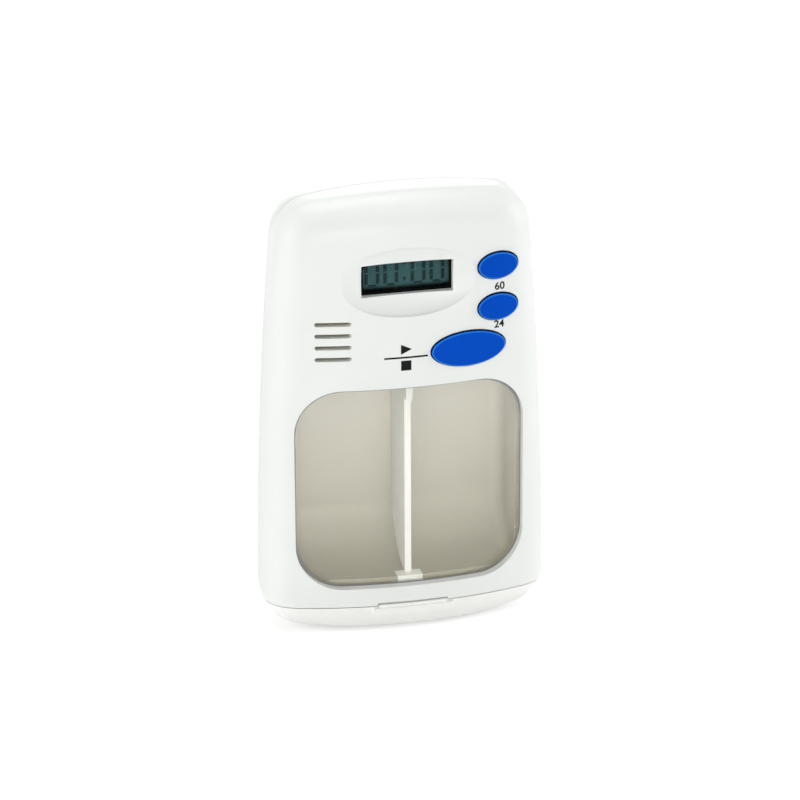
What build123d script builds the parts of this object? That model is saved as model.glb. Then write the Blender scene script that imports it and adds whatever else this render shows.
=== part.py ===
from build123d import *
from math import sqrt
import os

# Pocket pill box with a countdown timer, built as separate moulded and bought-in pieces.
# Frame: millimetres, +Z up, front face towards -Y, origin under the middle of the standing case.
# The pill drawer is the whole lower end of the case and slides out downwards.

# ---------------------------------------------------------------- case form
case_half_width = 32.4        # widest half width, near the bottom
case_height = 103.2
case_depth = 22.0             # front apex to flat back
face_radius = 100.0           # front face is an arc across X
side_radius = 1040.0          # long gentle taper of the sides
side_widest_z = 5.8
foot_half_width = 10.0        # flat part of the bottom edge
foot_radius = 79.0            # upward sweep of the bottom edge outside the foot
top_radius = 140.0            # arch of the top edge
top_corner_radius = 9.5
bottom_corner_radius = 9.0
front_roll = 7.5              # rolled edge from face to side
back_roll = 7.4
wall = 2.0
drawer_line_z = 7.5           # parting line of the case and the drawer cap
drawer_gap = 0.2

front_y = -case_depth / 2
back_y = case_depth / 2
inner_back_y = back_y - wall
root_y = inner_back_y + 0.1   # rear shell's inner features start inside its back wall
seam_y = front_y + 13.3       # parting plane of the front and rear shells
seam_gap = 0.15
past = 1.0                    # how far a cutting or bounding block goes past the case

# ---------------------------------------------------------------- window
window_half_width = 26.0
window_bottom_z = 11.8
window_top_z = case_height - 43.7
window_corner = 10.5
pane_thickness = 1.2
pane_margin = 1.4             # glued border behind the shell

# ---------------------------------------------------------------- buttons
small_button_x = case_half_width - 12.6
minute_button_z = case_height - 17.5
hour_button_z = minute_button_z - 9.6
small_button_half = (4.7, 3.05)
start_button_x = small_button_x - 6.9
start_button_z = hour_button_z - 8.8
start_button_half = (8.6, 4.0)
button_gap = 0.25             # round a cap in its opening
button_clearance = 0.15       # flange to the shell
button_rise = 0.7             # how far a button stands out of the face
button_travel = 0.5
button_flange = 0.9
button_flange_thickness = 0.8
button_edge = 0.5
stem_radius = 1.5
stem_slack = 0.05

# ---------------------------------------------------------------- display
dish_x = small_button_x - 20.5
dish_z = case_height - 19.1
dish_half_width = 16.75
dish_half_height = 8.0
dish_depth = 2.6              # below the face's apex
dish_backing = 0.9            # wall left behind the dish
dish_pad_margin = 1.2
display_x = dish_x + 0.05
display_z = dish_z + 0.3
display_half_width = 10.3
display_half_height = 3.7
glass_half_width = 13.0
glass_half_height = 6.2
glass_thickness = 2.0
glass_clearance = 0.1
frame_wall = 0.7
zebra_half_width = 12.0
zebra_height = 2.0
zebra_rise = 0.5              # above the lower edge of the glass
glass_front_y = front_y + dish_depth + dish_backing + glass_clearance

# ---------------------------------------------------------------- sound slots and buzzer
slot_count = 4
slot_length = 8.0
slot_middle_x = 15.0 - case_half_width
slot_top_z = display_z - 9.2
slot_pitch = 2.73
slot_height = 0.95
buzzer_x = slot_middle_x + 0.4
buzzer_z = slot_top_z - 4.9
buzzer_radius = 6.6
buzzer_brass = 0.3
buzzer_ceramic = 0.25
ceramic_share = 0.7           # ceramic's radius as a share of the brass's
buzzer_ring_wall = 0.7
buzzer_seat_y = front_y + 5.65
strip_width = 1.2
strip_thickness = 0.2
strip_touch_x = 5.6           # second strip, out on the brass

# ---------------------------------------------------------------- circuit board
board_front_y = front_y + 7.85
board_thickness = 1.0
board_back_y = board_front_y + board_thickness
board_half_width = 23.0
board_top_z = case_height - 10.9
board_bottom_z = board_top_z - 28.2
board_corner = 1.5
board_notch = 0.4             # clearance round the lower case posts
switch_half = 3.0
switch_height = 1.5
plunger_radius = 1.7
plunger_height = 0.4
post_radius = 2.4
screw_radius = 1.0
screw_clearance = 0.05
screw_head_radius = 2.0
screw_head_height = 1.3
screw_head_clearance = 0.2
cross_half_width = 0.25
cross_depth = 0.6
cross_share = 0.6             # recess's reach as a share of the head's radius
lower_post_x = case_half_width - 8.1
upper_post_x = case_half_width - 12.9
lower_post_z = board_bottom_z + 0.1
upper_post_z = case_height - 7.9
case_post_places = ((-lower_post_x, lower_post_z), (lower_post_x, lower_post_z),
                    (-upper_post_x, upper_post_z), (upper_post_x, upper_post_z))
case_post_end_y = front_y + 12.0    # post tip, where the rear shell's boss meets it
case_post_gap = 0.1
screw_seat_y = back_y - 4.4
screw_reach = 10.0
screw_tip_room = 0.5
board_post_places = ((-21.0, board_top_z - 2.1), (small_button_x - 4.0, board_top_z - 1.5),
                     (start_button_x - 12.9, board_bottom_z + 1.6))
board_post_radius = 1.7
board_screw_radius = 0.8
board_screw_reach = 4.5
board_screw_head = (1.6, 1.0)
board_tip_room = 0.3
chip_x = -6.0
chip_z = board_top_z - 5.0
chip_radius = 4.6
chip_rise = 1.4
crystal_x = 5.5
crystal_radius = 1.0
crystal_length = 6.0
small_chip_xs = (-15.0, 11.0, 14.0, 17.0)
small_chip = (1.2, 0.8, 2.0)

# ---------------------------------------------------------------- battery and its door
cell_radius = 5.25
cell_length = 43.7
cell_edge = 0.4
nub_radius = 1.9
nub_length = 0.8
cell_z = case_height - 28.3
cell_gap = 0.2                # cell to door
cell_floor_gap = 0.15
bay_half_length = 23.4
bay_half_height = 6.1
bay_wall = 1.2
bay_floor_thickness = 0.8
contact_thickness = 0.3
contact_width = 6.0
contact_foot = 1.6            # length soldered to the board
contact_slot = 0.1            # clearance round a contact's tail
leaf_half = 3.0               # bowed leaf of the negative contact
door_half_width = 23.9
door_half_height = 7.5
door_thickness = 1.3
door_gap = 0.2
door_sink = 0.1               # door face below the back face
door_pad = 1.0                # border of the thicker wall behind the door's recess
door_pad_thickness = 0.9
hinge_pin_radius = 0.45
hinge_pin_length = 0.4
hinge_end_gap = 0.1
hinge_clearance = 0.05
notch_half_sizes = (5.0, 1.2, 2.0)    # fingernail notch above the door
grip_half_length = 4.0
grip_count = 3
grip_pitch = 1.2
grip_depth = 0.3
grip_edge = 2.2               # first grip groove below the door's upper edge

door_face_y = back_y - door_sink
door_axis_y = door_face_y - door_thickness / 2 - 0.2
door_axis_z = cell_z - door_half_height + door_thickness / 2
recess_floor_y = door_axis_y - door_thickness / 2 - 0.1
recess_bottom_z = door_axis_z - (door_face_y - door_axis_y) - 0.1
recess_top_z = cell_z + door_half_height + door_gap
cell_y = door_face_y - door_thickness - cell_gap - cell_radius
bay_floor_y = cell_y - cell_radius - cell_floor_gap
cell_left_x = -bay_half_length + contact_thickness + nub_length
cell_right_x = cell_left_x + cell_length

# ---------------------------------------------------------------- drawer
tray_half_width = 26.0
tray_side = 1.3
tray_floor = 1.2
tray_back_gap = 0.3
tray_clearance = 0.3          # tray to window pane, and tray to its rails
tray_end_wall = 2.2
tray_top_wall = 1.4
tray_end_z = window_bottom_z + 1.2  # inner face of the lower end wall
tray_top_z = window_top_z - 0.8     # inner face of the upper end wall
tray_back_corner = 4.5        # upright outer edges at the back
scoop_radius = 13.5           # pills slide out over this curve
tray_corner = 4.0
tray_side_round = 3.0
lip_half_width = 9.0
lip_height = 1.75
lip_reach = 1.0
lip_drop = 0.15               # lip below the parting line
nail_gap_half_width = 8.0
nail_gap_height = 0.6
nail_gap_depth = 1.3
deck_thickness = 1.6          # plate that joins the cap to the tray
deck_border = 4.0             # rim round the opening in the deck
rail_wall = 1.2
rail_depth = 6.0
rail_bottom_z = drawer_line_z + 1.2
rail_top_z = tray_top_z + 1.0
stop_height = 2.0
stop_length = 3.0             # along Y
stop_reach = 1.2              # out of the tray's side
stop_y = front_y + 10.0
stop_block_z = rail_bottom_z + 0.5
stop_lug_z = tray_top_z - 3.2       # meets the stop block at the end of the drawer's travel
bulkhead_z = tray_top_z + tray_top_wall + 0.25  # wall between the drawer bay and the electronics
bulkhead_thickness = 1.2
bulkhead_front_y = front_y + 5.6
bulkhead_half_width = 26.5
snap_zs = (drawer_line_z + 11.2, tray_top_z - 10.0)  # tabs that locate the lower sides of the shells
snap_length = 8.0
snap_reach = 2.0
snap_root = 2.5
snap_thickness = 1.2

tray_floor_y = inner_back_y - tray_back_gap - tray_floor    # inner face of the tray's back
tray_back_y = tray_floor_y + tray_floor
tray_inner_half = tray_half_width - tray_side
rail_x = tray_half_width + tray_clearance

# ---------------------------------------------------------------- divider
divider_thickness = 1.45
divider_ridge_drop = 2.0      # ridge below the raised ends
foot_width = 5.8
foot_height = 1.4
foot_depth = 3.0
head_height = 3.6
head_depth = 4.0
groove_clearance = 0.1
groove_depth = 0.7
divider_front_y = front_y + wall + pane_thickness + tray_clearance
divider_ridge_y = divider_front_y + divider_ridge_drop


# ================================================================ helpers
def block(x0, x1, y0, y1, z0, z1):
    """Box from its limits."""
    return Pos((x0 + x1) / 2, (y0 + y1) / 2, (z0 + z1) / 2) * Box(x1 - x0, y1 - y0, z1 - z0)


def mirrored_block(half_x, y0, y1, z0, z1):
    return block(-half_x, half_x, y0, y1, z0, z1)


def prism(sketch, y0, y1):
    """Extrude an XZ sketch from y0 to y1."""
    return extrude(Plane.XZ.offset(-y1) * sketch, amount=y1 - y0)


def rod(radius, y0, y1, x, z):
    return prism(Pos(x, z) * Circle(radius), y0, y1)


def oval(half_sizes, grow=0.0):
    return Ellipse(half_sizes[0] + grow, half_sizes[1] + grow)


def face_y(x):
    """Y of the outer front face at x."""
    return front_y + face_radius - sqrt(face_radius**2 - x**2)


def crossing(circle_a, circle_b, upper):
    """Point where two circles (x, z, radius) meet on the +X side, the upper or the lower one."""
    (xa, za, ra), (xb, zb, rb) = circle_a, circle_b
    gap = sqrt((xb - xa) ** 2 + (zb - za) ** 2)
    along = (gap**2 + ra**2 - rb**2) / (2 * gap)
    across = sqrt(ra**2 - along**2)
    ux, uz = (xb - xa) / gap, (zb - za) / gap
    points = [(xa + along * ux - s * across * uz, za + along * uz + s * across * ux) for s in (1, -1)]
    points = [p for p in points if p[0] > 0]
    return max(points, key=lambda p: p[1]) if upper else min(points, key=lambda p: p[1])


def arc_on(circle, start, end):
    """Arc of a circle (x, z, radius) between two of its points, the short way."""
    x, z, radius = circle
    dx, dz = (start[0] + end[0]) / 2 - x, (start[1] + end[1]) / 2 - z
    reach = radius / sqrt(dx**2 + dz**2)
    return ThreePointArc(start, (x + dx * reach, z + dz * reach), end)


def back_shifted(form, depth):
    """A case form moved back along Y."""
    return Pos(0, depth, 0) * form


def write(node, shape):
    """Write one piece; a piece of several solids goes out as a compound of them."""
    solids = shape.solids()
    export_step(Compound(children=list(solids)) if len(solids) > 1 else solids[0], f"parts/{node}.step")
    print(f"{node}: {len(solids)} solid(s)")


# ================================================================ case form
def case_outline(inset):
    """Front view of the case in the XZ sketch plane, moved inwards by inset."""
    side = (case_half_width - side_radius, side_widest_z, side_radius - inset)
    foot = (foot_half_width, foot_radius, foot_radius - inset)
    top = (0, case_height - top_radius, top_radius - inset)
    high = crossing(side, top, upper=True)
    low = crossing(side, foot, upper=False)
    heel = (foot_half_width, inset)
    right = [arc_on(foot, heel, low), arc_on(side, low, high)]
    left = [mirror(edge, Plane.YZ) for edge in right]
    top_left = (-high[0], high[1])
    face = make_face([Line((-heel[0], inset), heel), arc_on(top, top_left, high), *right, *left])
    corners = [v for v in face.vertices() if abs(v.Y - high[1]) < 0.01]
    face = fillet(corners, top_corner_radius - inset)
    corners = [v for v in face.vertices() if abs(v.Y - low[1]) < 0.01]
    return fillet(corners, bottom_corner_radius - inset)


def case_form(inset):
    """Solid form of the case, its whole surface moved inwards by inset."""
    body = prism(case_outline(inset), front_y + inset, back_y - inset)
    body &= Pos(0, front_y + face_radius, case_height / 2) * Cylinder(face_radius - inset, case_height * 1.2)
    flat_y = back_y - inset - 0.01
    front = [e for e in body.edges() if e.bounding_box().max.Y < flat_y]
    body = fillet(front, front_roll - inset)
    back = [e for e in body.edges() if e.bounding_box().min.Y > flat_y]
    return fillet(back, back_roll - inset)


outer_form = case_form(0)
inner_form = case_form(wall)


# ================================================================ shells
def window_outline(grow=0.0):
    """Window opening in the XZ plane, grown by a margin."""
    width = 2 * (window_half_width + grow)
    height = window_top_z - window_bottom_z + 2 * grow
    middle_z = (window_bottom_z + window_top_z) / 2
    return Pos(0, middle_z) * RectangleRounded(width, height, window_corner + grow)


buttons = {
    "minute_button": (small_button_x, minute_button_z, small_button_half),
    "hour_button": (small_button_x, hour_button_z, small_button_half),
    "start_stop_button": (start_button_x, start_button_z, start_button_half),
}


def dish_bowl():
    """Shallow oval dish round the display."""
    bowl = scale(Sphere(1), by=(dish_half_width, dish_depth, dish_half_height))
    return Pos(dish_x, front_y, dish_z) * bowl


def face_openings():
    """Everything that is cut through the front face, as one list of solids."""
    outside_y = front_y - past
    cuts = [prism(window_outline(), outside_y, 0)]
    cuts.append(prism(Pos(display_x, display_z) * Rectangle(2 * display_half_width, 2 * display_half_height),
                      outside_y, glass_front_y))
    for x, z, half in buttons.values():
        cuts.append(prism(Pos(x, z) * oval(half, button_gap), outside_y, 0))
    for i in range(slot_count):
        place = Pos(slot_middle_x, slot_top_z - i * slot_pitch)
        cuts.append(prism(place * SlotOverall(slot_length, slot_height), outside_y, buzzer_seat_y - 0.5))
    return cuts


def snap_tabs():
    """Tabs of the front shell that slip inside the rear shell's lower sides."""
    tabs = []
    for side in (-1, 1):
        deep = Pos(-side * snap_thickness, 0, 0) * inner_form
        near = Pos(-side * seam_gap, 0, 0) * inner_form
        x0, x1 = sorted((side * tray_half_width, side * (case_half_width + past)))
        for z in snap_zs:
            band = (z - snap_length / 2, z + snap_length / 2)
            root = block(x0, x1, seam_y - snap_root, seam_y - seam_gap / 2, *band)
            tip = block(x0, x1, seam_y - snap_root, seam_y + snap_reach, *band)
            tabs += [(root & inner_form) - deep, (tip & near) - deep]
    return tabs


def front_shell():
    shell = outer_form - inner_form
    shell &= mirrored_block(case_half_width + past, front_y - past, seam_y - seam_gap / 2,
                            drawer_line_z, case_height + past)
    pad = Ellipse(dish_half_width + dish_pad_margin, dish_half_height + dish_pad_margin)
    backing = prism(Pos(dish_x, dish_z) * pad, front_y, front_y + dish_depth + dish_backing) & inner_form
    for x, z, half in buttons.values():
        backing -= prism(Pos(x, z) * oval(half, button_flange + button_clearance), front_y, 0)
    shell += backing
    ring = Circle(buzzer_radius + buzzer_ring_wall / 2) - Circle(buzzer_radius - buzzer_ring_wall / 2)
    shell += prism(Pos(buzzer_x, buzzer_z) * ring, front_y, buzzer_seat_y) & inner_form
    for x, z in case_post_places:
        shell += rod(post_radius, front_y, case_post_end_y, x, z) & inner_form
    for x, z in board_post_places:
        shell += rod(board_post_radius, front_y, board_front_y, x, z) & inner_form
    for tab in snap_tabs():
        shell += tab
    shell -= dish_bowl()
    for cut in face_openings():
        shell -= cut
    for x, z in case_post_places:
        tip_y = screw_seat_y - screw_reach - screw_tip_room
        shell -= rod(screw_radius + screw_clearance, tip_y, seam_y, x, z)
    for x, z in board_post_places:
        tip_y = board_back_y - board_screw_reach - board_tip_room
        shell -= rod(board_screw_radius + screw_clearance, tip_y, board_front_y + past, x, z)
    shell -= mirrored_block(nail_gap_half_width, front_y - past, front_y + nail_gap_depth,
                            drawer_line_z, drawer_line_z + nail_gap_height)
    return shell


def battery_bay():
    """Walls and floor of the cell's bay, joined to the back wall, and the thicker wall round the door."""
    bay = mirrored_block(bay_half_length + bay_wall, bay_floor_y - bay_floor_thickness, root_y,
                         cell_z - bay_half_height - bay_wall, cell_z + bay_half_height + bay_wall)
    pad_half = door_half_width + door_gap + door_pad
    return bay + mirrored_block(pad_half, inner_back_y - door_pad_thickness, root_y,
                                recess_bottom_z - door_pad, recess_top_z + door_pad)


def drawer_guides(side):
    """Rail beside the tray and the block that stops the tray's lug."""
    x0, x1 = sorted((side * rail_x, side * (rail_x + rail_wall)))
    rail_front_y = inner_back_y - rail_depth
    rail = block(x0, x1, rail_front_y, root_y, rail_bottom_z, rail_top_z)
    return rail + block(x0, x1, stop_y, rail_front_y + 0.1, stop_block_z, stop_block_z + stop_height)


def rear_shell():
    shell = outer_form - inner_form
    shell &= mirrored_block(case_half_width + past, seam_y + seam_gap / 2, back_y + past,
                            drawer_line_z, case_height + past)
    extras = [battery_bay(), drawer_guides(-1), drawer_guides(1)]
    extras.append(mirrored_block(bulkhead_half_width, bulkhead_front_y, root_y,
                                 bulkhead_z, bulkhead_z + bulkhead_thickness))
    for x, z in case_post_places:
        extras.append(rod(post_radius, case_post_end_y + case_post_gap, root_y, x, z))
    for extra in extras:
        shell += extra & inner_form
    shell -= mirrored_block(bay_half_length, bay_floor_y, back_y + past,
                            cell_z - bay_half_height, cell_z + bay_half_height)
    shell -= mirrored_block(door_half_width + door_gap, recess_floor_y, back_y + past,
                            recess_bottom_z, recess_top_z)
    shell -= Pos(0, back_y, cell_z + door_half_height) * scale(Sphere(1), by=notch_half_sizes)
    hole_length = 2 * (door_half_width + hinge_pin_length + hinge_end_gap)
    hole = Cylinder(hinge_pin_radius + hinge_clearance, hole_length, rotation=(0, 90, 0))
    shell -= Pos(0, door_axis_y, door_axis_z) * hole
    for x, z in case_post_places:
        shell -= rod(screw_radius + screw_clearance, case_post_end_y, screw_seat_y + past, x, z)
        shell -= rod(screw_head_radius + screw_head_clearance, screw_seat_y, back_y + past, x, z)
    bay_under_y = bay_floor_y - bay_floor_thickness
    tail_half = contact_width / 4 + contact_slot
    foot_room_y = board_back_y + contact_thickness + contact_slot
    for side in (-1, 1):
        outside = side * (bay_half_length + contact_slot)
        x0, x1 = sorted((side * (bay_half_length - contact_thickness - contact_slot), outside))
        shell -= block(x0, x1, bay_under_y - 0.1, bay_floor_y + 0.1, cell_z - tail_half, cell_z + tail_half)
        x0, x1 = sorted((side * (bay_half_length - contact_foot - contact_slot), outside))
        shell -= block(x0, x1, bay_under_y - 0.1, foot_room_y, cell_z - tail_half, cell_z + tail_half)
    return shell


def window_pane():
    sheet = inner_form - back_shifted(inner_form, pane_thickness)
    return sheet & prism(window_outline(pane_margin), front_y - past, 0)


# ================================================================ display and board
def display_glass():
    glass = Pos(display_x, display_z) * Rectangle(2 * glass_half_width, 2 * glass_half_height)
    return prism(glass, glass_front_y, glass_front_y + glass_thickness)


def display_frame():
    half_width = glass_half_width + glass_clearance
    half_height = glass_half_height + glass_clearance
    inside = Rectangle(2 * half_width, 2 * half_height)
    outside = Rectangle(2 * (half_width + frame_wall), 2 * (half_height + frame_wall))
    return prism(Pos(display_x, display_z) * (outside - inside), glass_front_y, board_front_y)


def zebra_strip():
    low = display_z - glass_half_height + zebra_rise
    return block(display_x - zebra_half_width, display_x + zebra_half_width,
                 glass_front_y + glass_thickness, board_front_y, low, low + zebra_height)


def circuit_board():
    width = 2 * board_half_width
    sketch = Pos(0, (board_bottom_z + board_top_z) / 2) * RectangleRounded(
        width, board_top_z - board_bottom_z, board_corner)
    board = prism(sketch, board_front_y, board_back_y)
    for x, z in board_post_places:
        board -= rod(board_screw_radius + screw_clearance, board_front_y - past, board_back_y + past, x, z)
    for x in (-lower_post_x, lower_post_x):
        board -= rod(post_radius + board_notch, board_front_y - past, board_back_y + past, x, lower_post_z)
    return board


def push_switches():
    """Tactile switch under each button, its plunger facing the front."""
    switches = []
    for x, z, _ in buttons.values():
        top_y = board_front_y - switch_height
        body = block(x - switch_half, x + switch_half, top_y, board_front_y, z - switch_half, z + switch_half)
        switches.append(body + rod(plunger_radius, top_y - plunger_height, top_y, x, z))
    return Compound(children=switches)


def button(x, z, half):
    """Oval key: cap through the face, retaining flange behind it, stem to the switch."""
    flange_front = back_shifted(inner_form, button_clearance)
    flange_back = back_shifted(inner_form, button_clearance + button_flange_thickness)
    raised_form = back_shifted(outer_form, -button_rise)
    cap = (prism(Pos(x, z) * oval(half), front_y - 2 * past, 0) & raised_form) - flange_back
    rim = [e for e in cap.edges() if not outer_form.is_inside(e @ 0.5)]
    cap = fillet(rim, button_edge)
    flange = prism(Pos(x, z) * oval(half, button_flange), front_y, 0) & (flange_front - flange_back)
    stem_end_y = board_front_y - switch_height - plunger_height - button_travel - stem_slack
    stem = rod(stem_radius, face_y(x) + wall, stem_end_y, x, z)
    return cap + flange + stem


def controller_chip():
    """Bare chip under a round drop of black resin, on the back of the board."""
    drop = scale(Sphere(1), by=(chip_radius, chip_rise, chip_radius))
    drop &= mirrored_block(chip_radius + past, 0, chip_rise + past, -chip_radius - past, chip_radius + past)
    return Pos(chip_x, board_back_y, chip_z) * drop


def board_components():
    """Crystal can and small chips soldered to the back of the board."""
    crystal = Cylinder(crystal_radius, crystal_length, rotation=(0, 90, 0))
    seat = mirrored_block(crystal_length / 3, -crystal_radius, 0, -0.3, 0.3)
    parts = [Pos(crystal_x, board_back_y + crystal_radius, chip_z) * (crystal + seat)]
    width, height, length = small_chip
    for x in small_chip_xs:
        parts.append(block(x - width / 2, x + width / 2, board_back_y, board_back_y + height,
                           chip_z - length / 2, chip_z + length / 2))
    return Compound(children=parts)


def screws(places, radius, reach, head_radius, head_height, seat_y):
    """Screws along Y, head at the back, each a solid of its own."""
    arm = head_radius * cross_share
    cross = mirrored_block(cross_half_width, 0, cross_depth + 0.1, -arm, arm)
    cross += mirrored_block(arm, 0, cross_depth + 0.1, -cross_half_width, cross_half_width)
    made = []
    for x, z in places:
        shank = rod(radius, seat_y - reach, seat_y, x, z)
        head = rod(head_radius, seat_y, seat_y + head_height, x, z)
        made.append(shank + head - Pos(x, seat_y + head_height - cross_depth, z) * cross)
    return Compound(children=made)


def buzzer_disc():
    seat = buzzer_seat_y
    return rod(buzzer_radius, seat, seat + buzzer_brass, buzzer_x, buzzer_z)


def buzzer_ceramic_disc():
    seat = buzzer_seat_y + buzzer_brass
    return rod(buzzer_radius * ceramic_share, seat, seat + buzzer_ceramic, buzzer_x, buzzer_z)


def buzzer_contacts():
    """Two bent spring strips from the board, one to the ceramic and one to the brass."""
    seat = buzzer_seat_y + buzzer_brass
    half = strip_width / 2
    thin = strip_thickness
    high = buzzer_z + 1.0
    strips = []
    for x, touch_y in ((buzzer_x, seat + buzzer_ceramic), (buzzer_x + strip_touch_x, seat)):
        strip = block(x - half, x + half, board_front_y - thin, board_front_y, buzzer_z - 3, high)
        strip += block(x - half, x + half, touch_y, board_front_y, high - thin, high)
        strip += block(x - half, x + half, touch_y, touch_y + thin, buzzer_z - half, high)
        strips.append(strip)
    return Compound(children=strips)


# ================================================================ battery
def battery_cell():
    body = Cylinder(cell_radius, cell_length, rotation=(0, 90, 0))
    body = Pos((cell_left_x + cell_right_x) / 2, cell_y, cell_z) * body
    body = fillet(body.edges(), cell_edge)
    nub = Cylinder(nub_radius, nub_length + cell_edge, rotation=(0, 90, 0))
    return body + Pos(cell_left_x + (cell_edge - nub_length) / 2, cell_y, cell_z) * nub


def contact_plate(side):
    """Upright strip in the bay with a tail through its floor to the board."""
    x0, x1 = sorted((side * (bay_half_length - contact_thickness), side * bay_half_length))
    half = contact_width / 2
    plate = block(x0, x1, bay_floor_y, cell_y + half, cell_z - half, cell_z + half)
    plate += block(x0, x1, board_back_y, bay_floor_y, cell_z - half / 2, cell_z + half / 2)
    x2, x3 = sorted((side * (bay_half_length - contact_foot), side * bay_half_length))
    return plate + block(x2, x3, board_back_y, board_back_y + contact_thickness,
                         cell_z - half / 2, cell_z + half / 2)


def positive_contact():
    return contact_plate(-1)


def negative_contact():
    """Plate with a bowed leaf that presses on the flat end of the cell."""
    root = bay_half_length - contact_thickness
    inside = root - contact_thickness
    low, high = cell_y - leaf_half, cell_y + leaf_half
    bow = [(root, low), (root, low + 0.6), (cell_right_x + contact_thickness, cell_y),
           (root, high - 0.6), (root, high), (inside, high - 0.5),
           (cell_right_x, cell_y + 0.3), (cell_right_x, cell_y - 0.3), (inside, low + 0.5)]
    leaf = extrude(make_face(Polyline(*bow, close=True)), amount=contact_width / 2, both=True)
    return contact_plate(1) + Pos(0, 0, cell_z) * leaf


def battery_door():
    """Flat door that turns on two pins at its lower edge."""
    top_z = cell_z + door_half_height
    plate = mirrored_block(door_half_width, door_face_y - door_thickness, door_face_y, door_axis_z, top_z)
    plate &= back_shifted(outer_form, -door_sink)
    barrel = Cylinder(door_thickness / 2, 2 * door_half_width, rotation=(0, 90, 0))
    pins = Cylinder(hinge_pin_radius, 2 * (door_half_width + hinge_pin_length), rotation=(0, 90, 0))
    axis = Pos(0, door_axis_y, door_axis_z)
    door = plate + axis * barrel + axis * pins
    for i in range(grip_count):
        z = top_z - grip_edge - grip_pitch * i
        door -= mirrored_block(grip_half_length, door_face_y - grip_depth, door_face_y + past,
                               z - grip_pitch / 4, z + grip_pitch / 4)
    return door


# ================================================================ drawer and divider
cap_top_z = drawer_line_z - drawer_gap


def pill_profile(grow):
    """YZ profile of the pill space, open to the front, with the scoop at its lower back corner."""
    y0 = front_y - past
    y1 = tray_floor_y + grow
    z0 = tray_end_z - grow
    z1 = tray_top_z + grow
    profile = Pos((y0 + y1) / 2, (z0 + z1) / 2) * Rectangle(y1 - y0, z1 - z0)
    high = max(profile.vertices(), key=lambda v: v.X + v.Y)
    profile = fillet(high, tray_corner + grow)
    low = max(profile.vertices(), key=lambda v: v.X - v.Y)
    return fillet(low, scoop_radius + grow)


def pill_space():
    """Inside of the tray, its side corners rounded."""
    space = extrude(Plane.YZ * pill_profile(0), amount=tray_inner_half, both=True)
    ends = [e for e in space.edges() if abs(abs(e.center().X) - tray_inner_half) < 0.01]
    return fillet([e for e in ends if e.center().Y > front_y], tray_side_round)


def tray_block():
    """Outside of the tray: it follows the pane at the front and has rounded upright edges at the back."""
    column = mirrored_block(tray_half_width, front_y, tray_back_y, cap_top_z - 0.5, tray_top_z + tray_top_wall)
    upright = [e for e in column.edges().filter_by(Axis.Z) if e.center().Y > 0]
    column = fillet(upright, tray_back_corner)
    return column & back_shifted(inner_form, pane_thickness + tray_clearance)


def tray_hollow():
    """Space under the tray's end wall and scoop."""
    space = mirrored_block(tray_inner_half, front_y + wall + pane_thickness, tray_floor_y,
                           cap_top_z, tray_end_z + scoop_radius)
    return space - extrude(Plane.YZ * pill_profile(tray_end_wall), amount=tray_half_width, both=True)


def drawer():
    below = mirrored_block(case_half_width + past, front_y - 3 * past, back_y + past, -past, cap_top_z)
    cap = (outer_form - inner_form) & below
    cap += inner_form & mirrored_block(case_half_width, front_y, back_y, cap_top_z - deck_thickness, cap_top_z)
    lip_top_z = cap_top_z - lip_drop
    lip = back_shifted(outer_form, -lip_reach) - inner_form
    lip &= mirrored_block(lip_half_width, front_y - 3 * past, front_y + 3 * past,
                          lip_top_z - lip_height, lip_top_z)
    body = cap + lip + tray_block() - pill_space() - tray_hollow()
    body -= mirrored_block(tray_inner_half - deck_border, divider_front_y + deck_border,
                           tray_floor_y - deck_border / 2, cap_top_z - deck_thickness - past, cap_top_z + 0.5)
    room = groove_clearance
    body -= mirrored_block(foot_width / 2 + room, front_y, divider_front_y + foot_depth + room,
                           tray_end_z - foot_height - room, tray_end_z + 0.1)
    body -= mirrored_block(divider_thickness / 2 + room, front_y, tray_floor_y - tray_corner,
                           tray_top_z - 0.1, tray_top_z + groove_depth)
    for side in (-1, 1):
        x0, x1 = sorted((side * (tray_half_width - 0.1), side * (tray_half_width + stop_reach)))
        body += block(x0, x1, stop_y, stop_y + stop_length, stop_lug_z, stop_lug_z + stop_height)
    return body


def divider():
    """Removable partition: thin plate, T foot in the lower wall, stepped head in the upper wall."""
    top = tray_top_z + groove_depth - groove_clearance
    half = divider_thickness / 2
    tongue_y = tray_floor_y - tray_corner - groove_clearance
    plate = extrude(Plane.YZ * pill_profile(-groove_clearance), amount=half, both=True)
    plate &= mirrored_block(half, divider_ridge_y, tray_back_y, tray_end_z, tray_top_z)
    plate += mirrored_block(half, divider_front_y, divider_front_y + head_depth, tray_top_z - head_height, top)
    plate += mirrored_block(half, divider_ridge_y, tongue_y, tray_top_z - past, top)
    foot_back_y = divider_front_y + foot_depth
    plate += mirrored_block(half, divider_ridge_y, foot_back_y, tray_end_z - foot_height / 2, tray_end_z + past)
    return plate + mirrored_block(foot_width / 2, divider_front_y, foot_back_y,
                                  tray_end_z - foot_height, tray_end_z)


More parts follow.
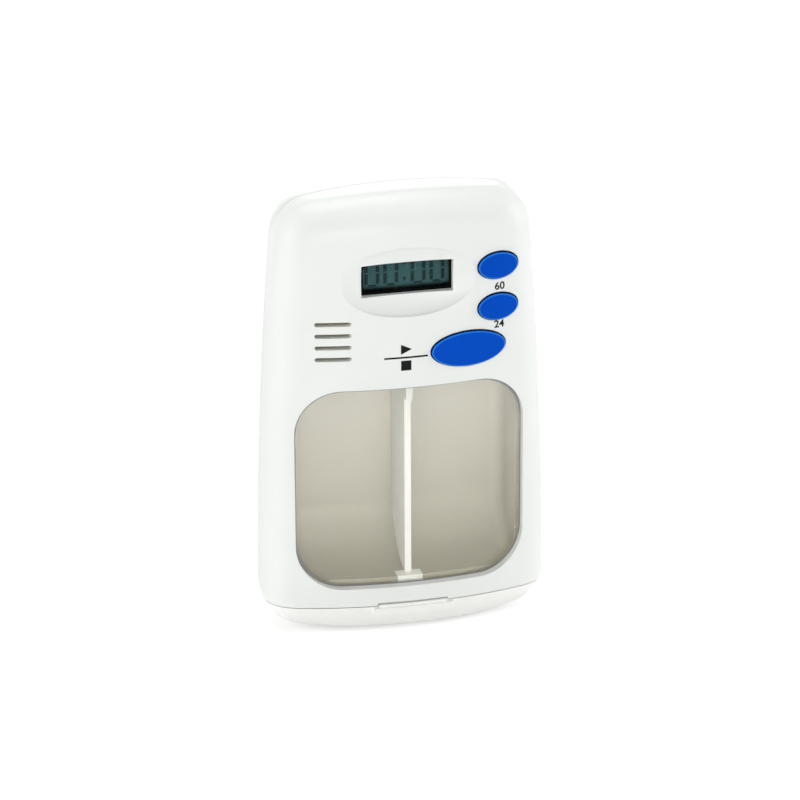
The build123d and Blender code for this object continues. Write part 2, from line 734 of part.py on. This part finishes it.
# ================================================================ write the pieces
os.makedirs("parts", exist_ok=True)
write("front_shell", front_shell())
write("rear_shell", rear_shell())
write("window_pane", window_pane())
write("display_glass", display_glass())
write("display_frame", display_frame())
write("zebra_strip", zebra_strip())
write("circuit_board", circuit_board())
write("push_switches", push_switches())
write("controller_chip", controller_chip())
write("board_components", board_components())
write("buzzer_disc", buzzer_disc())
write("buzzer_ceramic", buzzer_ceramic_disc())
write("buzzer_contacts", buzzer_contacts())
write("case_screws", screws(case_post_places, screw_radius, screw_reach, screw_head_radius,
                            screw_head_height, screw_seat_y))
write("board_screws", screws(board_post_places, board_screw_radius, board_screw_reach, *board_screw_head,
                             board_back_y))
write("battery_cell", battery_cell())
write("positive_contact", positive_contact())
write("negative_contact", negative_contact())
write("battery_door", battery_door())
write("drawer", drawer())
write("divider", divider())
for name, (x, z, half) in buttons.items():
    write(name, button(x, z, half))
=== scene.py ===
"""Looks of a pocket pill box with a countdown timer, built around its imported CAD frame."""

import math

import bmesh
import bpy
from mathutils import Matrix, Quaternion, Vector
from mathutils.bvhtree import BVHTree


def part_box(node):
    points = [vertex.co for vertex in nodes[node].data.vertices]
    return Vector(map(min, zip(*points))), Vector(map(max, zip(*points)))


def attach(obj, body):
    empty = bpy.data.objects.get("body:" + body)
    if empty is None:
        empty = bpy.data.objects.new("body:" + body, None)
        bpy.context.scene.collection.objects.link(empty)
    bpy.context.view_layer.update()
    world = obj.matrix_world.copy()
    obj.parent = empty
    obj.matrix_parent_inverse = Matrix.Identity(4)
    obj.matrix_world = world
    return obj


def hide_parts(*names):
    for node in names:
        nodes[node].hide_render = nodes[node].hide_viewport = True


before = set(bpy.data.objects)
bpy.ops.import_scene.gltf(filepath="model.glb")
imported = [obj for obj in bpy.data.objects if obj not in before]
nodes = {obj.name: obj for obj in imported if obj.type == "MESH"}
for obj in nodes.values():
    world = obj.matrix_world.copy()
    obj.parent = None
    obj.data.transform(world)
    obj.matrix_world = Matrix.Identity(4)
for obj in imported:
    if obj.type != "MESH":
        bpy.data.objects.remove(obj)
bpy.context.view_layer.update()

MM = 0.001

# Sizes of the detail that the materials give a surface.
cloud_size = 20 * MM              # drift of a colour
cloud_detail = 3.0
cloud_low, cloud_high = 0.3, 0.7  # shares of the noise at which the two tones are pure
gloss_size = 6 * MM               # patches of uneven gloss
gloss_drift = 0.05                # roughness either way
mould_grain = 0.4 * MM
mould_depth = 0.006 * MM
film_depth = 0.002 * MM           # grain of a printed film
clear_size = 12 * MM              # slow waves in a clear moulding
clear_depth = 0.004 * MM
metal_grain = 0.6 * MM
metal_depth = 0.004 * MM
metal_smoother, metal_rougher = 0.08, 0.12
panel_grains = 40                 # over the height of the display panel
panel_grain_depth = 0.003 * MM
cell_gloss_size = 4 * MM
cell_roughness = (0.24, 0.36)


# ================================================================ material helpers
def srgb(red, green, blue):
    """Linear colour, with alpha, of an sRGB colour given as 0 to 255."""
    def linear(value):
        value /= 255
        return value / 12.92 if value <= 0.04045 else ((value + 0.055) / 1.055) ** 2.4
    return (linear(red), linear(green), linear(blue), 1.0)


class Shader:
    """A material with one Principled shader and short calls to wire nodes into it."""

    def __init__(self, name, color, roughness, **sockets):
        self.material = bpy.data.materials.new(name)
        self.material.use_nodes = True
        self.tree = self.material.node_tree
        self.tree.nodes.clear()
        self.output = self.tree.nodes.new("ShaderNodeOutputMaterial")
        self.main = self.tree.nodes.new("ShaderNodeBsdfPrincipled")
        self.link(self.main.outputs[0], self.output.inputs["Surface"])
        self.set("Base Color", color)
        self.set("Roughness", roughness)
        for socket, value in sockets.items():
            self.set(socket.replace("_", " "), value)
        self.coords = self.tree.nodes.new("ShaderNodeTexCoord").outputs["Object"]

    def set(self, socket, value):
        """Fixed value of one of the shader's own sockets."""
        self.main.inputs[socket].default_value = value

    def link(self, source, target):
        """Wire one socket to another."""
        self.tree.links.new(source, target)

    def noise(self, size, detail=2.0, stretch=(1, 1, 1)):
        """Noise whose features are about size metres across, 0 to 1."""
        mapping = self.tree.nodes.new("ShaderNodeMapping")
        mapping.inputs["Scale"].default_value = stretch
        self.link(self.coords, mapping.inputs["Vector"])
        node = self.tree.nodes.new("ShaderNodeTexNoise")
        node.inputs["Scale"].default_value = 1 / size
        node.inputs["Detail"].default_value = detail
        self.link(mapping.outputs[0], node.inputs["Vector"])
        return node.outputs["Fac"]

    def ramp(self, source, *stops):
        """Colour ramp with (position, colour) stops."""
        node = self.tree.nodes.new("ShaderNodeValToRGB")
        elements = node.color_ramp.elements
        while len(elements) < len(stops):
            elements.new(0.5)
        for element, (position, color) in zip(elements, stops):
            element.position = position
            element.color = color
        self.link(source, node.inputs["Fac"])
        return node.outputs["Color"]

    def spread(self, source, low, high, from_low=0.0, from_high=1.0):
        """Map a value's range to another one, clamped."""
        node = self.tree.nodes.new("ShaderNodeMapRange")
        node.inputs["From Min"].default_value = from_low
        node.inputs["From Max"].default_value = from_high
        node.inputs["To Min"].default_value = low
        node.inputs["To Max"].default_value = high
        self.link(source, node.inputs["Value"])
        return node.outputs["Result"]

    def axis(self, name):
        """One coordinate in metres."""
        node = self.tree.nodes.new("ShaderNodeSeparateXYZ")
        self.link(self.coords, node.inputs[0])
        return node.outputs[name]

    def cloudy(self, low, high):
        """Colour that drifts a little between two tones."""
        return self.ramp(self.noise(cloud_size, cloud_detail), (cloud_low, low), (cloud_high, high))

    def mix(self, factor, first, second):
        """First colour where the factor is 0 and second where it is 1."""
        node = self.tree.nodes.new("ShaderNodeMix")
        node.data_type = "RGBA"
        self.link(factor, node.inputs["Factor"])
        self.link(first, node.inputs["A"])
        self.link(second, node.inputs["B"])
        return node.outputs["Result"]

    def base_color(self):
        """Socket that the base colour comes from so far."""
        return self.main.inputs["Base Color"].links[0].from_socket

    def bump(self, source, depth):
        """Small relief of that depth, in metres."""
        node = self.tree.nodes.new("ShaderNodeBump")
        node.inputs["Distance"].default_value = depth
        self.link(source, node.inputs["Height"])
        self.link(node.outputs[0], self.main.inputs["Normal"])


def moulded(name, low, high, roughness, grain_depth=mould_depth, **sockets):
    """Moulded plastic: faint cloudy colour, fine spark-eroded grain, uneven gloss."""
    shader = Shader(name, high, roughness, **sockets)
    shader.link(shader.cloudy(low, high), shader.main.inputs["Base Color"])
    gloss = shader.spread(shader.noise(gloss_size), roughness - gloss_drift, roughness + gloss_drift)
    shader.link(gloss, shader.main.inputs["Roughness"])
    shader.bump(shader.noise(mould_grain, 4.0), grain_depth)
    return shader


def clear(name, tint, shadow_tint, roughness, ior):
    """Clear plastic or glass that lets lamps reach what is behind it."""
    shader = Shader(name, tint, roughness, Transmission_Weight=1.0, IOR=ior)
    passing = shader.tree.nodes.new("ShaderNodeBsdfTransparent")
    passing.inputs["Color"].default_value = shadow_tint
    path = shader.tree.nodes.new("ShaderNodeLightPath")
    mix = shader.tree.nodes.new("ShaderNodeMixShader")
    shader.link(path.outputs["Is Shadow Ray"], mix.inputs["Fac"])
    shader.link(shader.main.outputs[0], mix.inputs[1])
    shader.link(passing.outputs[0], mix.inputs[2])
    shader.link(mix.outputs[0], shader.output.inputs["Surface"])
    shader.bump(shader.noise(clear_size), clear_depth)
    return shader


def metal(name, color, roughness, brushed=(1, 1, 1)):
    """Bare metal with fine grain, drawn out along an axis where it is brushed."""
    shader = Shader(name, color, roughness, Metallic=1.0)
    grain = shader.noise(metal_grain, 3.0, brushed)
    gloss = shader.spread(grain, roughness - metal_smoother, roughness + metal_rougher)
    shader.link(gloss, shader.main.inputs["Roughness"])
    shader.bump(grain, metal_depth)
    return shader


# ================================================================ materials
case_white = moulded("case_white", srgb(237, 240, 236), srgb(240, 243, 239), 0.42)
divider_white = moulded("divider_white", srgb(230, 230, 228), srgb(234, 234, 232), 0.35)
frame_black = moulded("frame_black", srgb(24, 25, 26), srgb(30, 31, 32), 0.5)
rubber = moulded("contact_rubber", srgb(52, 50, 50), srgb(60, 58, 58), 0.7)
switch_black = moulded("switch_black", srgb(30, 30, 30), srgb(40, 40, 40), 0.45)
board_green = moulded("board_green", srgb(22, 84, 46), srgb(30, 98, 56), 0.35, Coat_Weight=0.3)
resin = moulded("chip_resin", srgb(12, 12, 13), srgb(18, 18, 19), 0.22)
chip_dark = moulded("chip_dark", srgb(36, 34, 32), srgb(46, 43, 40), 0.5)
ceramic = moulded("ceramic_white", srgb(214, 208, 196), srgb(224, 219, 208), 0.4)
ink = moulded("ink", srgb(14, 15, 17), srgb(20, 21, 23), 0.6, grain_depth=film_depth,
              Specular_IOR_Level=0.1)
# Grey of the painted shade line round the window pane.
shade_line_grey = moulded("shade_line_grey", srgb(146, 144, 147), srgb(154, 152, 155), 0.5, Specular_IOR_Level=0.2)
lcd_ink = moulded("lcd_ink", srgb(26, 38, 38), srgb(30, 43, 42), 0.6, grain_depth=film_depth,
                  Specular_IOR_Level=0.05)
brass = metal("buzzer_brass", srgb(206, 176, 108), 0.32)
tin = metal("tin_metal", srgb(205, 206, 204), 0.3, (1, 1, 6))
steel = metal("screw_steel", srgb(178, 180, 182), 0.34)
pane = clear("window_clear", srgb(242, 242, 239), srgb(246, 246, 243), 0.03, 1.49)
cover = clear("lcd_cover", srgb(246, 250, 248), srgb(246, 250, 248), 0.08, 1.05)

key_tones = (srgb(0, 74, 190), srgb(0, 80, 200))
key_flank_shade = (0.30, srgb(0, 28, 92))       # how far a surface faces forwards, and its colour there: painted shade on the flanks
# Painted highlight on the rounded rim, where the surface faces this far forwards.
key_rim_highlight = (0.62, srgb(38, 126, 234))
key_top = (0.88, 0.97)                    # the plain colour comes in between these
# Tray tones: a beige darkened as painted shade of the box's inside; the low tones and the heights after
# them give deeper painted shade towards its lower end.
tray_shaded_tones = (srgb(206, 203, 194), srgb(210, 207, 198))
tray_low_shade_tones = (srgb(164, 159, 143), srgb(168, 163, 147))
tray_shade_below = 13 * MM
tray_plain_above = 48 * MM
# The cap's white is painted brighter than the case's, as painted light from below.
cap_lit_tones = (srgb(249, 250, 246), srgb(252, 252, 248))
cap_top = 7.4 * MM
# Panel colour, painted dark towards its lower edge as painted shade.
panel_shade_stops = ((0.15, srgb(4, 5, 5)), (0.25, srgb(12, 14, 13)), (0.32, srgb(50, 75, 77)))
cell_end = srgb(206, 206, 204)
cell_band = srgb(168, 172, 176)
cell_wrap = srgb(92, 97, 104)
cell_stops = ((0.0, cell_end), (0.02, cell_end), (0.03, cell_band), (0.26, cell_band),
              (0.27, cell_wrap), (0.985, cell_wrap), (0.99, cell_end))


def key_material():
    """Blue key: plain top, with a painted highlight on the rounded rim and painted shade on the flanks."""
    shader = moulded("key_blue", *key_tones, 0.28, Specular_IOR_Level=0.04)
    plain = shader.base_color()
    geometry = shader.tree.nodes.new("ShaderNodeNewGeometry")
    split = shader.tree.nodes.new("ShaderNodeSeparateXYZ")
    shader.link(geometry.outputs["True Normal"], split.inputs[0])
    facing = shader.spread(split.outputs["Y"], 1.0, 0.0, -1.0, 0.0)
    # Painted shade on the flanks and painted highlight on the rim, set by how far the surface faces
    # forwards.
    flank_shade_and_rim_highlight = shader.ramp(facing, key_flank_shade, key_rim_highlight)
    color = shader.mix(shader.spread(facing, 0.0, 1.0, *key_top), flank_shade_and_rim_highlight, plain)
    shader.link(color, shader.main.inputs["Base Color"])
    return shader


def drawer_material():
    """Beige tray, darkened as painted shade of the box's inside and with deeper painted shade low down, on
    a white end cap painted brighter as painted light from below. They meet at the top of the cap.
    """
    shader = moulded("drawer_plastic", *tray_shaded_tones, 0.38)
    height = shader.axis("Z")
    # Painted shade: full low down on the tray, fading out higher up.
    rising = shader.spread(height, 0.0, 1.0, tray_shade_below, tray_plain_above)
    tray = shader.mix(rising, shader.cloudy(*tray_low_shade_tones), shader.base_color())
    above_cap = shader.tree.nodes.new("ShaderNodeMath")
    above_cap.operation = "GREATER_THAN"
    above_cap.inputs[1].default_value = cap_top
    shader.link(height, above_cap.inputs[0])
    # Below the cap's top: the cap's white, painted brighter as painted light from below.
    color = shader.mix(above_cap.outputs[0], shader.cloudy(*cap_lit_tones), tray)
    shader.link(color, shader.main.inputs["Base Color"])
    return shader


def lcd_panel_material():
    """Grey-green reflector with painted shade along its lower edge."""
    low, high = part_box("display_glass")
    shader = Shader("lcd_panel", panel_shade_stops[-1][1], 0.5, Specular_IOR_Level=0.01)
    up = shader.spread(shader.axis("Z"), 0.0, 1.0, low.z, high.z)
    shader.link(shader.ramp(up, *panel_shade_stops), shader.main.inputs["Base Color"])
    shader.bump(shader.noise((high.z - low.z) / panel_grains), panel_grain_depth)
    return shader


def cell_material():
    """Battery jacket: plain grey wrap with a paler band and metal ends."""
    low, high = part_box("battery_cell")
    shader = Shader("cell_jacket", cell_wrap, 0.3)
    along = shader.spread(shader.axis("X"), 0.0, 1.0, low.x, high.x)
    shader.link(shader.ramp(along, *cell_stops), shader.main.inputs["Base Color"])
    gloss = shader.spread(shader.noise(cell_gloss_size), *cell_roughness)
    shader.link(gloss, shader.main.inputs["Roughness"])
    return shader


# The cap's white, painted brighter than the case as painted light; the lip ridge wears it too.
cap_white = moulded("cap_white", *cap_lit_tones, 0.38)
key_blue = key_material()
drawer_plastic = drawer_material()
lcd_panel = lcd_panel_material()
cell = cell_material()

finishes = {
    "front_shell": case_white, "rear_shell": case_white, "battery_door": case_white,
    "drawer": drawer_plastic, "divider": divider_white, "window_pane": pane,
    "minute_button": key_blue, "hour_button": key_blue, "start_stop_button": key_blue,
    "display_frame": frame_black, "zebra_strip": rubber, "circuit_board": board_green,
    "push_switches": switch_black, "controller_chip": resin, "board_components": chip_dark,
    "buzzer_disc": brass, "buzzer_ceramic": ceramic, "buzzer_contacts": tin,
    "case_screws": steel, "board_screws": steel, "battery_cell": cell,
    "positive_contact": tin, "negative_contact": tin,
}


def dress(node, shader):
    """Give a CAD node one finish all over."""
    materials = nodes[node].data.materials
    materials.clear()
    materials.append(shader.material)


for name, shader in finishes.items():
    dress(name, shader)


# ================================================================ mesh helpers
def new_piece(name, mesh_data, shader, body="case"):
    """Make an object from a bmesh, give it a finish and let it ride on a body."""
    mesh = bpy.data.meshes.new(name)
    bmesh.ops.recalc_face_normals(mesh_data, faces=mesh_data.faces)
    mesh_data.to_mesh(mesh)
    mesh_data.free()
    mesh.materials.append(shader.material)
    piece = bpy.data.objects.new(name, mesh)
    bpy.context.scene.collection.objects.link(piece)
    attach(piece, body)
    return piece


def slab(mesh_data, outline, y_front, y_back):
    """Closed plate from an outline of (x, z) points, between two depths."""
    front = [mesh_data.verts.new((x, y_front, z)) for x, z in outline]
    back = [mesh_data.verts.new((x, y_back, z)) for x, z in outline]
    mesh_data.faces.new(front)
    mesh_data.faces.new(list(reversed(back)))
    count = len(outline)
    for i in range(count):
        j = (i + 1) % count
        mesh_data.faces.new((front[j], front[i], back[i], back[j]))


def rectangle(x0, x1, z0, z1):
    """Corners of a rectangle in order."""
    return [(x0, z0), (x1, z0), (x1, z1), (x0, z1)]


corner_steps = 6                  # pieces that a rounded corner is cut into
run_steps = 16                    # and a straight side


def rounded_outline(left, right, low, high, corner):
    """Points of a rounded rectangle, close enough together to follow a curved face."""
    points = []
    middles = ((right - corner, low + corner), (right - corner, high - corner),
               (left + corner, high - corner), (left + corner, low + corner))
    for quarter, (x, z) in enumerate(middles):
        for i in range(corner_steps + 1):
            angle = math.radians(90 * (quarter - 1 + i / corner_steps))
            points.append((x + corner * math.cos(angle), z + corner * math.sin(angle)))
        next_x, next_z = middles[(quarter + 1) % len(middles)]
        start_x, start_z = points[-1]
        for i in range(1, run_steps):
            share = i / run_steps
            points.append((start_x + (next_x - x) * share, start_z + (next_z - z) * share))
    return points


def ring(outside, inside, y_front, y_back):
    """Flat plate between two outlines of (x, z) points."""
    mesh_data = bmesh.new()
    edges = []
    for outline in (outside, inside):
        verts = [mesh_data.verts.new((x, y_front, z)) for x, z in outline]
        edges += [mesh_data.edges.new((verts[i - 1], verts[i])) for i in range(len(verts))]
    bmesh.ops.triangle_fill(mesh_data, use_beauty=True, use_dissolve=False, edges=edges)
    grown = bmesh.ops.extrude_face_region(mesh_data, geom=mesh_data.faces[:])
    for item in grown["geom"]:
        if isinstance(item, bmesh.types.BMVert):
            item.co.y = y_back
    return mesh_data


# ================================================================ display
glass_low, glass_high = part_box("display_glass")
cover_thickness = 0.4 * MM
film = 0.03 * MM                  # thickness of printed and stuck-on films
panel_depth = 1.45 * MM           # digits lie this far behind the front of the glass
digit_width = 3.38 * MM
digit_height = 6.3 * MM
digit_stroke = 0.8 * MM
digit_bar = 0.5 * MM              # height of the level segments
digit_pitch = 4.25 * MM
digit_gap = 2.75 * MM             # between the hours and the minutes
digit_middle_x = -0.55 * MM
digit_middle_z = 85.1 * MM
segment_break = 0.12 * MM
mask_left, mask_right = -10.1 * MM, 9.2 * MM
mask_bottom, mask_top = 81.15 * MM, 87.35 * MM
mask_corner = 0.9 * MM
colon_dot = 0.7 * MM
colon_reach = 1.8 * MM


def nought_outlines(start):
    """The six lit segments of a nought whose left edge is at that x."""
    outlines = []
    for sign in (-1, 1):
        near = digit_middle_z + sign * segment_break
        edge = digit_middle_z + sign * digit_height / 2
        end = edge - sign * (digit_bar + segment_break)
        bar = edge - sign * digit_bar
        far = start + digit_width
        for outer, inner in ((start, start + digit_stroke), (far, far - digit_stroke)):
            outlines.append([(outer, near), (inner, near + sign * segment_break),
                             (inner, end), (outer, end + sign * segment_break)])
        left = start + digit_stroke - segment_break
        right = far - digit_stroke + segment_break
        outlines.append([(left, edge), (right, edge),
                         (right - segment_break, bar), (left + segment_break, bar)])
    return outlines


def colon_outlines():
    """The two dots between the hours and the minutes."""
    half = colon_dot / 2
    left, right = digit_middle_x - half, digit_middle_x + half
    outlines = []
    for sign in (-1, 1):
        middle = digit_middle_z + sign * colon_reach
        outlines.append(rectangle(left, right, middle - half, middle + half))
    return outlines


def display_pieces():
    """Clear cover, grey panel, noughts and printed mask in place of the plain glass block."""
    glass_outline = rectangle(glass_low.x, glass_high.x, glass_low.z, glass_high.z)
    mask_y = glass_low.y + cover_thickness
    cover_mesh = bmesh.new()
    slab(cover_mesh, glass_outline, glass_low.y, mask_y)
    new_piece("display_cover_glass", cover_mesh, cover)
    panel_y = glass_low.y + panel_depth
    panel_mesh = bmesh.new()
    slab(panel_mesh, glass_outline, panel_y, glass_high.y)
    panel = new_piece("display_panel", panel_mesh, lcd_panel)
    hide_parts("display_glass")
    hours = digit_middle_x - digit_gap / 2 - digit_width - digit_pitch
    minutes = digit_middle_x + digit_gap / 2
    lit = []
    for start in (hours, hours + digit_pitch, minutes, minutes + digit_pitch):
        lit += nought_outlines(start)
    digits_mesh = bmesh.new()
    for outline in lit + colon_outlines():
        slab(digits_mesh, outline, panel_y - film, panel_y)
    new_piece("display_digits", digits_mesh, lcd_ink)
    opening = rounded_outline(mask_left, mask_right, mask_bottom, mask_top, mask_corner)
    mask_mesh = ring(glass_outline, opening, mask_y, mask_y + film)
    new_piece("display_mask", mask_mesh, ink)


display_pieces()


# ================================================================ marks beside the keys
mark_rise = 0.03 * MM             # in front of the face
mark_sink = 0.03 * MM             # and into it
weld = 0.001 * MM
probe_y = -50 * MM                # rays start here, in front of the whole box
figure_size = 2.4 * MM
figure_boldness = 0.05 * MM
minute_mark = (20.2 * MM, 80.7 * MM)
hour_mark = (20.1 * MM, 71.8 * MM)
start_mark = (-1.4 * MM, 66.68 * MM)
start_mark_half = 4.9 * MM
start_line_half = 0.2 * MM
start_cuts = 8
sign_gap = 0.75 * MM
sign_size = 2.3 * MM
triangle_reach = 1.1              # how far right its point is, against half its height


def surface_of(node):
    """Function that gives Y of a node's front surface at a point (x, z) of it."""
    mesh_data = bmesh.new()
    mesh_data.from_mesh(nodes[node].data)
    tree = BVHTree.FromBMesh(mesh_data)
    mesh_data.free()
    return lambda x, z: tree.ray_cast(Vector((x, probe_y, z)), Vector((0, 1, 0)))[0].y


on_face = surface_of("front_shell")
on_pane = surface_of("window_pane")


def print_mark(name, flat):
    """Lay a flat mesh of (x, z) in its own XY plane on the front face as a thin printed film."""
    mesh_data = bmesh.new()
    mesh_data.from_mesh(flat)
    bmesh.ops.remove_doubles(mesh_data, verts=mesh_data.verts, dist=weld)
    grown = bmesh.ops.extrude_face_region(mesh_data, geom=mesh_data.faces[:])
    top = {v for v in grown["geom"] if isinstance(v, bmesh.types.BMVert)}
    for vert in mesh_data.verts:
        x, z = vert.co.x, vert.co.y
        y = on_face(x, z)
        vert.co = (x, y - mark_rise if vert in top else y + mark_sink, z)
    new_piece(name, mesh_data, ink)


def figures(body, x, z):
    """Flat mesh of plain figures centred at a point."""
    curve = bpy.data.curves.new("figures", "FONT")
    curve.body = body
    curve.size = figure_size
    curve.offset = figure_boldness
    curve.align_x = "CENTER"
    curve.align_y = "CENTER"
    holder = bpy.data.objects.new("figures", curve)
    bpy.context.scene.collection.objects.link(holder)
    bpy.context.view_layer.update()
    mesh = bpy.data.meshes.new_from_object(holder)
    bpy.data.objects.remove(holder)
    for vert in mesh.vertices:
        vert.co.x += x
        vert.co.y += z
    return mesh


def start_stop_outlines():
    """A triangle over a line over a square: run and halt."""
    x, z = start_mark
    line = rectangle(x - start_mark_half, x + start_mark_half, z - start_line_half, z + start_line_half)
    half = sign_size / 2
    low = z + sign_gap
    triangle = [(x - half, low), (x + half * triangle_reach, low + half), (x - half, low + sign_size)]
    top = z - sign_gap
    square = rectangle(x - half, x + half, top - sign_size, top)
    return [line, triangle, square]


def start_stop_mesh():
    """Flat mesh of the sign, cut across X so that it can follow the curved face."""
    mesh_data = bmesh.new()
    for outline in start_stop_outlines():
        mesh_data.faces.new([mesh_data.verts.new((x, z, 0)) for x, z in outline])
    left = start_mark[0] - start_mark_half
    for i in range(1, start_cuts):
        at = left + 2 * start_mark_half * i / start_cuts
        geometry = mesh_data.verts[:] + mesh_data.edges[:] + mesh_data.faces[:]
        bmesh.ops.bisect_plane(mesh_data, geom=geometry, plane_co=(at, 0, 0), plane_no=(1, 0, 0))
    mesh = bpy.data.meshes.new("sign")
    mesh_data.to_mesh(mesh)
    mesh_data.free()
    return mesh


print_mark("minute_mark", figures("60", *minute_mark))
print_mark("hour_mark", figures("24", *hour_mark))
print_mark("start_stop_mark", start_stop_mesh())


# ================================================================ painted shade line round the window
window_half_width = 26.0 * MM
window_low, window_high = 11.8 * MM, 59.5 * MM
window_corner = 10.5 * MM
shade_line_left, shade_line_right = 0.62 * MM, 0.22 * MM      # widths of the line
shade_line_low, shade_line_high = 0.22 * MM, 0.95 * MM


def window_shade_line():
    """Grey line on the pane along the edge of the window opening: painted shade where the opening's wall
    meets the pane.
    """
    outside = rounded_outline(-window_half_width, window_half_width, window_low, window_high, window_corner)
    inside = rounded_outline(shade_line_left - window_half_width, window_half_width - shade_line_right,
                             window_low + shade_line_low, window_high - shade_line_high, window_corner - shade_line_right)
    mesh_data = ring(outside, inside, 0.0, -film)
    for vert in mesh_data.verts:
        vert.co.y += on_pane(vert.co.x, vert.co.z)
    new_piece("window_shade_line", mesh_data, shade_line_grey)


window_shade_line()


# ================================================================ lip
ridge_half_width = 7.8 * MM
ridge_low, ridge_high = 7.1 * MM, 7.75 * MM
ridge_front, ridge_back = 0.35 * MM, 0.75 * MM    # out of the face and into it
ridge_edge = 0.15 * MM
ridge_steps = 16
plain_face_z = 9.0 * MM           # height at which the face has no lip and no gap


def lip_ridge():
    """Low ridge on the lip that covers the nail gap of the solids, curved as the face is."""
    mesh_data = bmesh.new()
    loops = []
    for i in range(ridge_steps + 1):
        x = ridge_half_width * (2 * i / ridge_steps - 1)
        y = on_face(x, plain_face_z)
        front, back = y - ridge_front, y + ridge_back
        section = [(front, ridge_low), (front, ridge_high - ridge_edge), (front + ridge_edge, ridge_high),
                   (back, ridge_high), (back, ridge_low)]
        loops.append([mesh_data.verts.new((x, y, z)) for y, z in section])
    for near, far in zip(loops, loops[1:]):
        for i in range(len(near)):
            mesh_data.faces.new((near[i - 1], near[i], far[i], far[i - 1]))
    mesh_data.faces.new(loops[0])
    mesh_data.faces.new(loops[-1])
    new_piece("lip_ridge", mesh_data, cap_white, "drawer")


lip_ridge()


# ================================================================ camera
camera_azimuth = -13.1            # degrees, 0 looks along +Y
camera_elevation = 22.0
camera_distance = 1.0
camera_lens = 202.05
camera_sensor = 36
camera_near = 0.01
camera_target = Vector((0, 0.00125, 0.0517))
camera_roll = 0.3                 # degrees


def add_camera():
    """Camera that looks at the front from a little to the left and above."""
    azimuth = math.radians(camera_azimuth)
    elevation = math.radians(camera_elevation)
    outward = Vector((math.sin(azimuth) * math.cos(elevation),
                      -math.cos(azimuth) * math.cos(elevation), math.sin(elevation)))
    data = bpy.data.cameras.new("camera")
    data.lens = camera_lens
    data.sensor_width = camera_sensor
    data.clip_start = camera_near
    camera = bpy.data.objects.new("camera", data)
    camera.location = camera_target + outward * camera_distance
    turn = Quaternion((0, 0, 1), math.radians(-camera_roll))
    camera.rotation_mode = "QUATERNION"
    camera.rotation_quaternion = (-outward).to_track_quat("-Z", "Y") @ turn
    bpy.context.scene.collection.objects.link(camera)
    bpy.context.scene.camera = camera


add_camera()


# ================================================================ studio
floor_half = 4.0
floor_glow = 0.4                  # near the object, rising to 1 away from it
glow_near, glow_far = 0.15, 0.8
room_light = 0.2
room_shown = 1.0
lamp_aim = (0, 0, 0.05)
lamps = (                         # name, place, size across, power
    ("front_lamp", (-0.15, -1.17, 0.08), 0.4, 4.85),
    ("high_lamp", (0.2, -0.75, 0.95), 0.5, 1.2),
    ("left_lamp", (-1.2, -0.25, 0.35), 0.9, 6.8),
    ("right_lamp", (1.2, -0.25, 0.35), 0.9, 7.0),
    ("top_lamp", (0, 0.35, 1.2), 0.9, 8.0),
    ("back_lamp", (0.2, 1.2, 0.3), 0.6, 3.0),
)


def add_lamp(name, place, size, power):
    """Round soft lamp that points at the object."""
    data = bpy.data.lights.new(name, "AREA")
    data.shape = "DISK"
    data.size = size
    data.energy = power
    lamp = bpy.data.objects.new(name, data)
    lamp.location = place
    direction = Vector(lamp_aim) - Vector(place)
    lamp.rotation_euler = direction.to_track_quat("-Z", "Y").to_euler()
    bpy.context.scene.collection.objects.link(lamp)


def seen_rays(tree):
    """1 for rays from the camera, from mirrors and through glass."""
    path = tree.nodes.new("ShaderNodeLightPath")
    seen = path.outputs["Is Camera Ray"]
    for ray in ("Is Glossy Ray", "Is Transmission Ray"):
        join = tree.nodes.new("ShaderNodeMath")
        join.operation = "MAXIMUM"
        tree.links.new(seen, join.inputs[0])
        tree.links.new(path.outputs[ray], join.inputs[1])
        seen = join.outputs[0]
    return seen


def add_world(light, shown):
    """Even light of one strength, seen by the camera, in mirrors and through glass at another."""
    world = bpy.data.worlds.new("studio")
    world.use_nodes = True
    tree = world.node_tree
    tree.nodes.clear()
    output = tree.nodes.new("ShaderNodeOutputWorld")
    strengths = []
    for strength in (light, shown):
        background = tree.nodes.new("ShaderNodeBackground")
        background.inputs["Strength"].default_value = strength
        strengths.append(background)
    mix = tree.nodes.new("ShaderNodeMixShader")
    tree.links.new(seen_rays(tree), mix.inputs["Fac"])
    tree.links.new(strengths[0].outputs[0], mix.inputs[1])
    tree.links.new(strengths[1].outputs[0], mix.inputs[2])
    tree.links.new(mix.outputs[0], output.inputs["Surface"])
    bpy.context.scene.world = world


def add_floor():
    """Wide white floor that keeps the object's shadow and turns pure white away from it."""
    mesh_data = bmesh.new()
    corners = rectangle(-floor_half, floor_half, -floor_half, floor_half)
    mesh_data.faces.new([mesh_data.verts.new((x, y, 0)) for x, y in corners])
    mesh = bpy.data.meshes.new("floor")
    mesh_data.to_mesh(mesh)
    mesh_data.free()
    floor = bpy.data.objects.new("floor", mesh)
    bpy.context.scene.collection.objects.link(floor)
    shader = Shader("floor", srgb(247, 247, 247), 0.9, Specular_IOR_Level=0.0)
    tree = shader.tree
    distance = tree.nodes.new("ShaderNodeVectorMath")
    distance.operation = "LENGTH"
    shader.link(shader.coords, distance.inputs[0])
    rising = shader.spread(distance.outputs["Value"], floor_glow, 1.0, glow_near, glow_far)
    scaled = tree.nodes.new("ShaderNodeMath")
    scaled.operation = "MULTIPLY"
    shader.link(seen_rays(tree), scaled.inputs[0])
    shader.link(rising, scaled.inputs[1])
    glow = tree.nodes.new("ShaderNodeEmission")
    shader.link(scaled.outputs[0], glow.inputs["Strength"])
    both = tree.nodes.new("ShaderNodeAddShader")
    shader.link(shader.main.outputs[0], both.inputs[0])
    shader.link(glow.outputs[0], both.inputs[1])
    shader.link(both.outputs[0], shader.output.inputs["Surface"])
    mesh.materials.append(shader.material)


add_world(room_light, room_shown)
add_floor()
for lamp in lamps:
    add_lamp(*lamp)

bpy.context.scene.view_settings.view_transform = "Standard"
